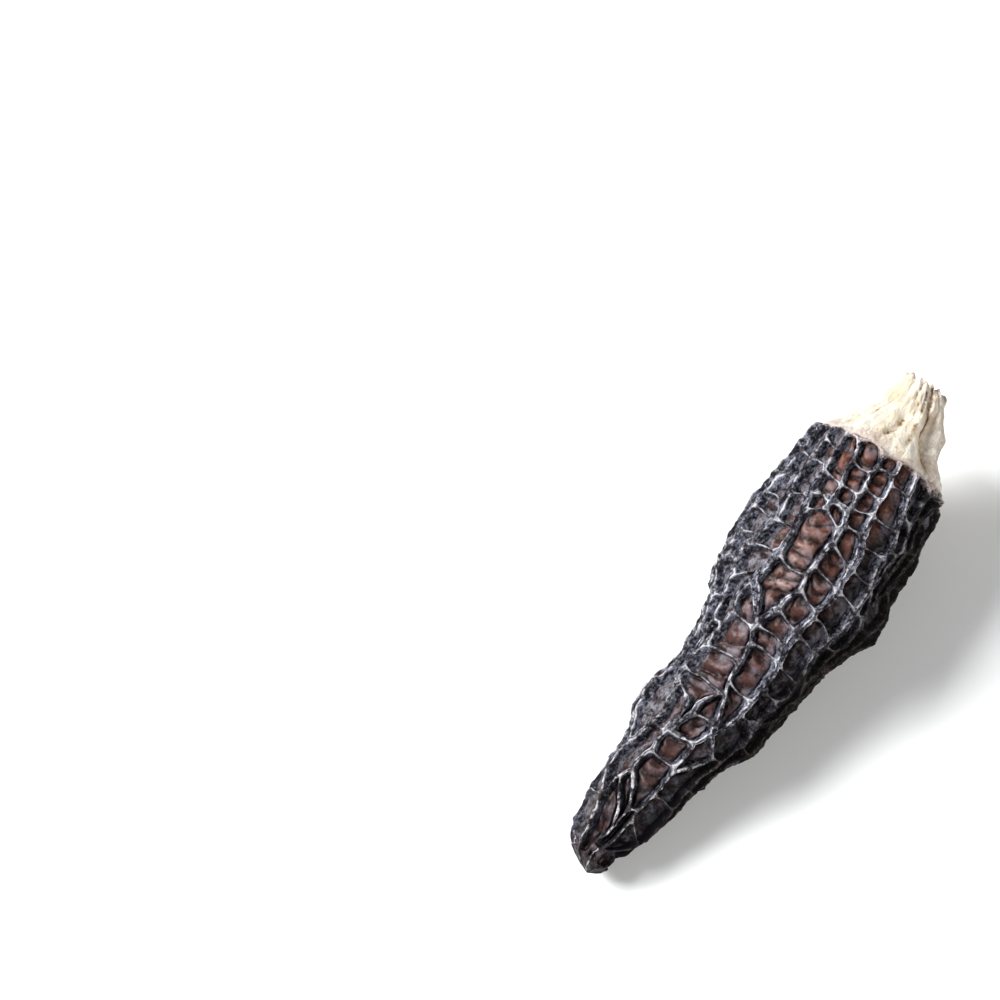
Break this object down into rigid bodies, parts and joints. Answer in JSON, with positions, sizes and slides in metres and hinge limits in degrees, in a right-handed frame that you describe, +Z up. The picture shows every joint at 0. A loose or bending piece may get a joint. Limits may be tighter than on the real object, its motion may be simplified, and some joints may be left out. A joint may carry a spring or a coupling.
{
  "type": "morel mushroom",
  "caption": "Dried black morel on its side: tapering hollow cap with a raised honeycomb net of ridges round deep pits, and a short trimmed fluted hollow stem that flares to the cap's rim.",
  "frame": {"origin": "Middle of the part's box, on the surface it lies on", "axes": "+X runs from the tip of the cap towards the cut end of the stem, +Y to its left, +Z up from the surface. The part's own axis leans down to the tip by about ten degrees."},
  "size_m": [0.0742, 0.0228, 0.0233],
  "materials": {
    "cap_flesh": "dry, dull ridges with duller grey crests and slightly glossy red-brown pits",
    "stem_flesh": "dry, matte, fluted"
  },
  "bodies": {
    "root": {"cap": "cap_flesh", "stem": "stem_flesh"}
  },
  "joints": []
}
